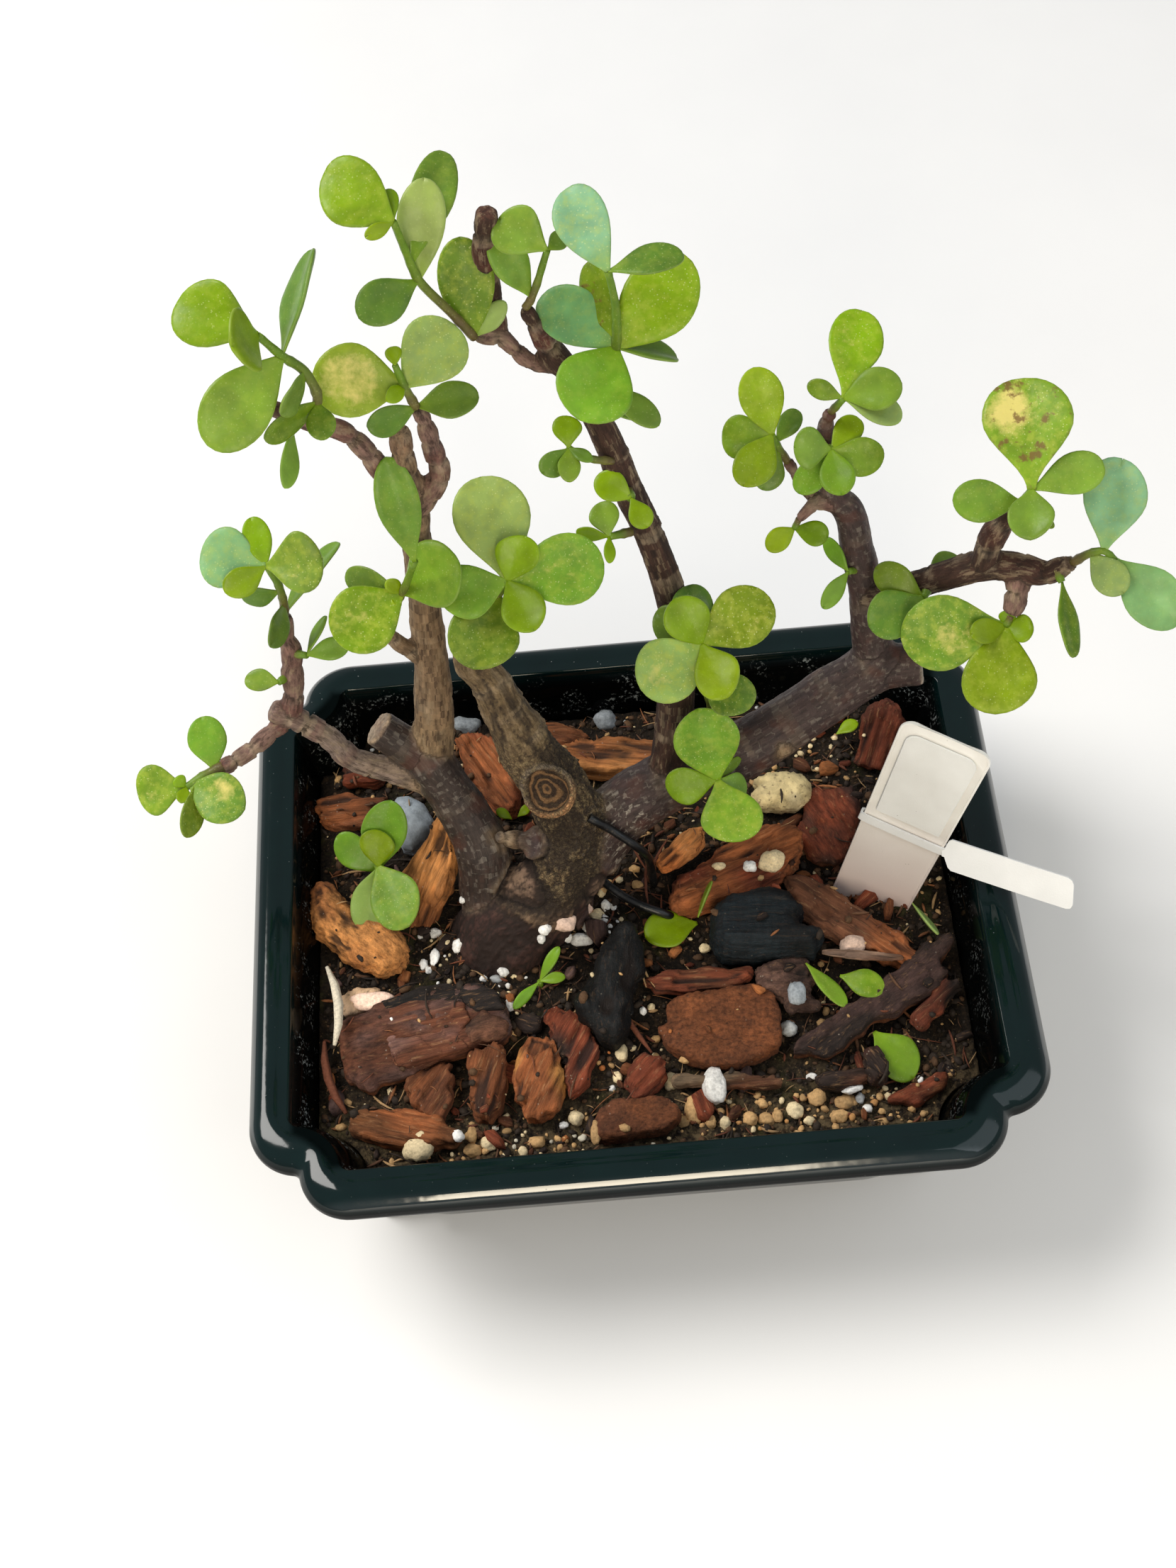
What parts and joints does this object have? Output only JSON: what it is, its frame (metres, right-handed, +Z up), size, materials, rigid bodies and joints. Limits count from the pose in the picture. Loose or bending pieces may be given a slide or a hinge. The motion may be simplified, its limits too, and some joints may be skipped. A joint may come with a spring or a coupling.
{
  "type": "dwarf jade bonsai",
  "caption": "Small succulent bonsai: a short thick trunk with upright stems and one long arm, sprays of fleshy oval leaves, in a glazed oblong pot with mulch and a blank plant label.",
  "frame": {"origin": "centre of the bottom of the part's bounding box, on the surface the pot stands on", "axes": "+Z up, +X to the right and +Y to the back as seen from the picture's side; the pot's long side lies along X"},
  "size_m": [0.242, 0.159, 0.2522],
  "materials": {
    "glaze": "dark green-black ceramic glaze, glossy, with dust and lime specks",
    "bark": "living bark, matt, finely fissured, from tan cork to purple-brown",
    "leaf": "fleshy leaf, satin, dotted with pale glands",
    "bark_chip": "conifer bark chip, matt, fibrous",
    "charcoal": "charcoal, matt black with a grey sheen on ridges",
    "stone_grey": "weathered blue-grey stone, matt",
    "stone_pale": "cream quartz-like stone, satin",
    "soil": "moist dark potting mix, crumbly, matt",
    "label_plastic": "cream injection-moulded plastic, satin",
    "label_paper": "blank coated paper sticker, satin",
    "strap": "white wrap-round strap, satin",
    "wire_coat": "black coated training wire, satin"
  },
  "bodies": {
    "root": {"pot": "glaze", "tree_wood": "bark", "label_stake": "label_plastic", "label_sticker": "label_paper", "strap_tag": "strap", "anchor_wire": "wire_coat", "spray_top_left": "leaf", "spray_left": "leaf", "spray_crown_left": "leaf", "spray_crown_right": "leaf", "spray_crown_tip": "leaf", "spray_middle": "leaf", "leaf_pair_middle_upper": "leaf", "leaf_pair_middle_lower": "leaf", "spray_low_top": "leaf", "leaf_pair_low_right": "leaf", "leaf_low_left": "leaf", "spray_low_out": "leaf", "spray_mid_left": "leaf", "spray_centre": "leaf", "spray_right_upper": "leaf", "spray_right_lower": "leaf", "spray_right_top": "leaf", "spray_right_left": "leaf", "spray_right_mid": "leaf", "spray_right_low": "leaf", "leaf_pair_right": "leaf", "spray_far_right_up": "leaf", "spray_far_right_end": "leaf", "leaf_right_hanging": "leaf", "spray_right_inner": "leaf", "spray_right_under": "leaf", "shoot_from_soil": "leaf", "weed_sprout": "leaf", "bark_knobbly": "bark_chip", "bark_spike": "bark_chip", "bark_back_left": "bark_chip", "bark_red": "bark_chip", "bark_back": "bark_chip", "bark_back_front": "bark_chip", "bark_orange": "bark_chip", "bark_large": "bark_chip", "bark_flat": "bark_chip", "bark_upright": "bark_chip", "bark_bar": "bark_chip", "bark_round": "bark_chip", "bark_diagonal": "bark_chip", "bark_slab": "bark_chip", "bark_front_left": "bark_chip", "bark_amber": "bark_chip", "bark_block": "bark_chip", "charcoal_ribbed": "charcoal", "charcoal_pointed": "charcoal", "stone_grey_blue": "stone_grey", "stone_cream": "stone_pale", "stone_cream_small": "stone_pale", "dry_stick": "bark_chip", "fallen_leaf_front": "leaf", "fallen_leaf_right": "leaf", "soil": "soil"}
  },
  "joints": []
}
